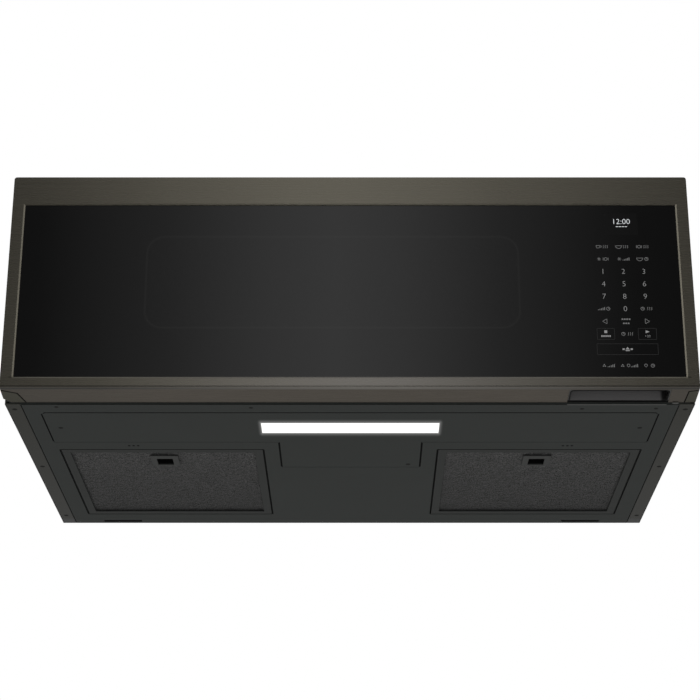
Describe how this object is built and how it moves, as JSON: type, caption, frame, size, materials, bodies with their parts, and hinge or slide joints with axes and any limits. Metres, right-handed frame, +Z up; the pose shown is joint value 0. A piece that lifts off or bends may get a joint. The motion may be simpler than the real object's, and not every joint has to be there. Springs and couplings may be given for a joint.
{
  "type": "over the range microwave",
  "caption": "Low-profile microwave oven with a hinged door, turntable, grease filters, work light and vent blower, hung over a cooking range.",
  "frame": {"origin": "middle of the footprint, level with the underside", "axes": "+X to the right as seen from the front, +Y back to the wall, +Z up"},
  "size_m": [0.759, 0.46, 0.284],
  "materials": {
    "case": "brushed dark brown-grey with a clear coat",
    "dark_paint": "matte",
    "zinc_sheet": "satin",
    "enamel": "satin",
    "filter_mesh": "satin",
    "black_plastic": "satin",
    "pale_plastic": "satin",
    "black_glass": "polished",
    "clear_glass": "polished",
    "lens": "satin",
    "copper": "satin",
    "iron": "matte",
    "board": "satin",
    "mica": "matte"
  },
  "bodies": {
    "body": {"outer_wrap": "case", "base_plate": "dark_paint", "back_plate": "zinc_sheet", "front_plate": "dark_paint", "lower_hinge": "zinc_sheet", "upper_hinge": "zinc_sheet", "oven_liner": "enamel", "mica_sheet": "mica", "oven_lamp": "pale_plastic", "turntable_motor": "zinc_sheet", "machine_tray": "zinc_sheet", "waveguide": "zinc_sheet", "magnetron_yoke": "zinc_sheet", "magnetron_anode": "copper", "transformer_core": "iron", "primary_winding": "copper", "secondary_winding": "copper", "capacitor": "zinc_sheet", "power_board": "board", "cooling_fan_frame": "zinc_sheet", "cooling_fan_motor": "iron", "latch_bracket": "pale_plastic", "lower_door_switch": "black_plastic", "upper_door_switch": "black_plastic", "cord_gland": "black_plastic", "cover_panel": "dark_paint", "light_lens": "lens", "light_box": "zinc_sheet", "light_board": "pale_plastic", "left_blower_scroll": "zinc_sheet", "right_blower_scroll": "zinc_sheet", "blower_motor": "iron", "exhaust_collar": "zinc_sheet"},
    "door": {"door_frame": "case", "door_glass": "black_glass", "finger_pull": "black_plastic", "control_board": "board", "choke_pan": "zinc_sheet", "window_screen": "dark_paint", "window_pane": "clear_glass", "inner_panel": "black_plastic"},
    "door_latch": {"latch_hooks": "black_plastic"},
    "turntable": {"turntable_coupler": "pale_plastic", "turntable": "clear_glass"},
    "roller_ring": {"roller_ring": "pale_plastic"},
    "roller_1": {"roller_1": "pale_plastic"},
    "roller_2": {"roller_2": "pale_plastic"},
    "roller_3": {"roller_3": "pale_plastic"},
    "cooling_fan": {"cooling_fan": "pale_plastic"},
    "blower": {"blower_shaft": "zinc_sheet", "left_blower_wheel": "dark_paint", "right_blower_wheel": "dark_paint"},
    "exhaust_flap": {"exhaust_flap": "zinc_sheet"},
    "left_filter": {"left_filter_frame": "dark_paint", "left_filter_mesh": "filter_mesh"},
    "left_filter_latch": {"left_filter_latch": "dark_paint"},
    "right_filter": {"right_filter_frame": "dark_paint", "right_filter_mesh": "filter_mesh"},
    "right_filter_latch": {"right_filter_latch": "dark_paint"}
  },
  "joints": [
    {"name": "door_swing", "type": "hinge", "parent": "body", "child": "door", "pos_m": [-0.367, -0.21, 0.13], "axis": [0, 0, -1], "range_deg": [0, 95]},
    {"name": "latch_lift", "type": "slide", "parent": "door", "child": "door_latch", "axis": [0, 0, 1], "range_m": [0, 0.005], "stiffness_N_per_m": 400, "springref_m": -0.004},
    {"name": "turntable_spin", "type": "hinge", "parent": "body", "child": "turntable", "pos_m": [-0.02, -0.02585, 0.0476], "axis": [0, 0, 1], "continuous": true},
    {"name": "ring_spin", "type": "hinge", "parent": "body", "child": "roller_ring", "pos_m": [-0.02, -0.02585, 0.0565], "axis": [0, 0, 1], "continuous": true},
    {"name": "cooling_fan_spin", "type": "hinge", "parent": "body", "child": "cooling_fan", "pos_m": [0.3148, 0.172, 0.1509], "axis": [0, 1, 0], "continuous": true},
    {"name": "blower_spin", "type": "hinge", "parent": "body", "child": "blower", "pos_m": [0, 0.1857, 0.15], "axis": [1, 0, 0], "continuous": true},
    {"name": "flap_swing", "type": "hinge", "parent": "body", "child": "exhaust_flap", "pos_m": [0, 0.2237, 0.266], "axis": [-1, 0, 0], "range_deg": [0, 80]},
    {"name": "roller_1_spin", "type": "hinge", "parent": "roller_ring", "child": "roller_1", "pos_m": [0.08046, 0.03215, 0.0565], "axis": [0.866, 0.5, 0], "continuous": true},
    {"name": "roller_2_spin", "type": "hinge", "parent": "roller_ring", "child": "roller_2", "pos_m": [-0.12046, 0.03215, 0.0565], "axis": [-0.866, 0.5, 0], "continuous": true},
    {"name": "roller_3_spin", "type": "hinge", "parent": "roller_ring", "child": "roller_3", "pos_m": [-0.02, -0.14185, 0.0565], "axis": [0, -1, 0], "continuous": true},
    {"name": "left_filter_swing", "type": "hinge", "parent": "body", "child": "left_filter", "pos_m": [-0.2215, 0.1932, 0.0012], "axis": [1, 0, 0], "range_deg": [0, 50]},
    {"name": "left_grip_slide", "type": "slide", "parent": "left_filter", "child": "left_filter_latch", "axis": [0, 1, 0], "range_m": [0, 0.006], "stiffness_N_per_m": 300, "springref_m": -0.003},
    {"name": "right_filter_swing", "type": "hinge", "parent": "body", "child": "right_filter", "pos_m": [0.2215, 0.1932, 0.0012], "axis": [1, 0, 0], "range_deg": [0, 50]},
    {"name": "right_grip_slide", "type": "slide", "parent": "right_filter", "child": "right_filter_latch", "axis": [0, 1, 0], "range_m": [0, 0.006], "stiffness_N_per_m": 300, "springref_m": -0.003}
  ],
  "couplings": [
    {"joint": "ring_spin", "follows": "turntable_spin", "ratio": 0.5},
    {"joint": "roller_1_spin", "follows": "turntable_spin", "ratio": -6.4444},
    {"joint": "roller_2_spin", "follows": "turntable_spin", "ratio": -6.4444},
    {"joint": "roller_3_spin", "follows": "turntable_spin", "ratio": -6.4444}
  ]
}
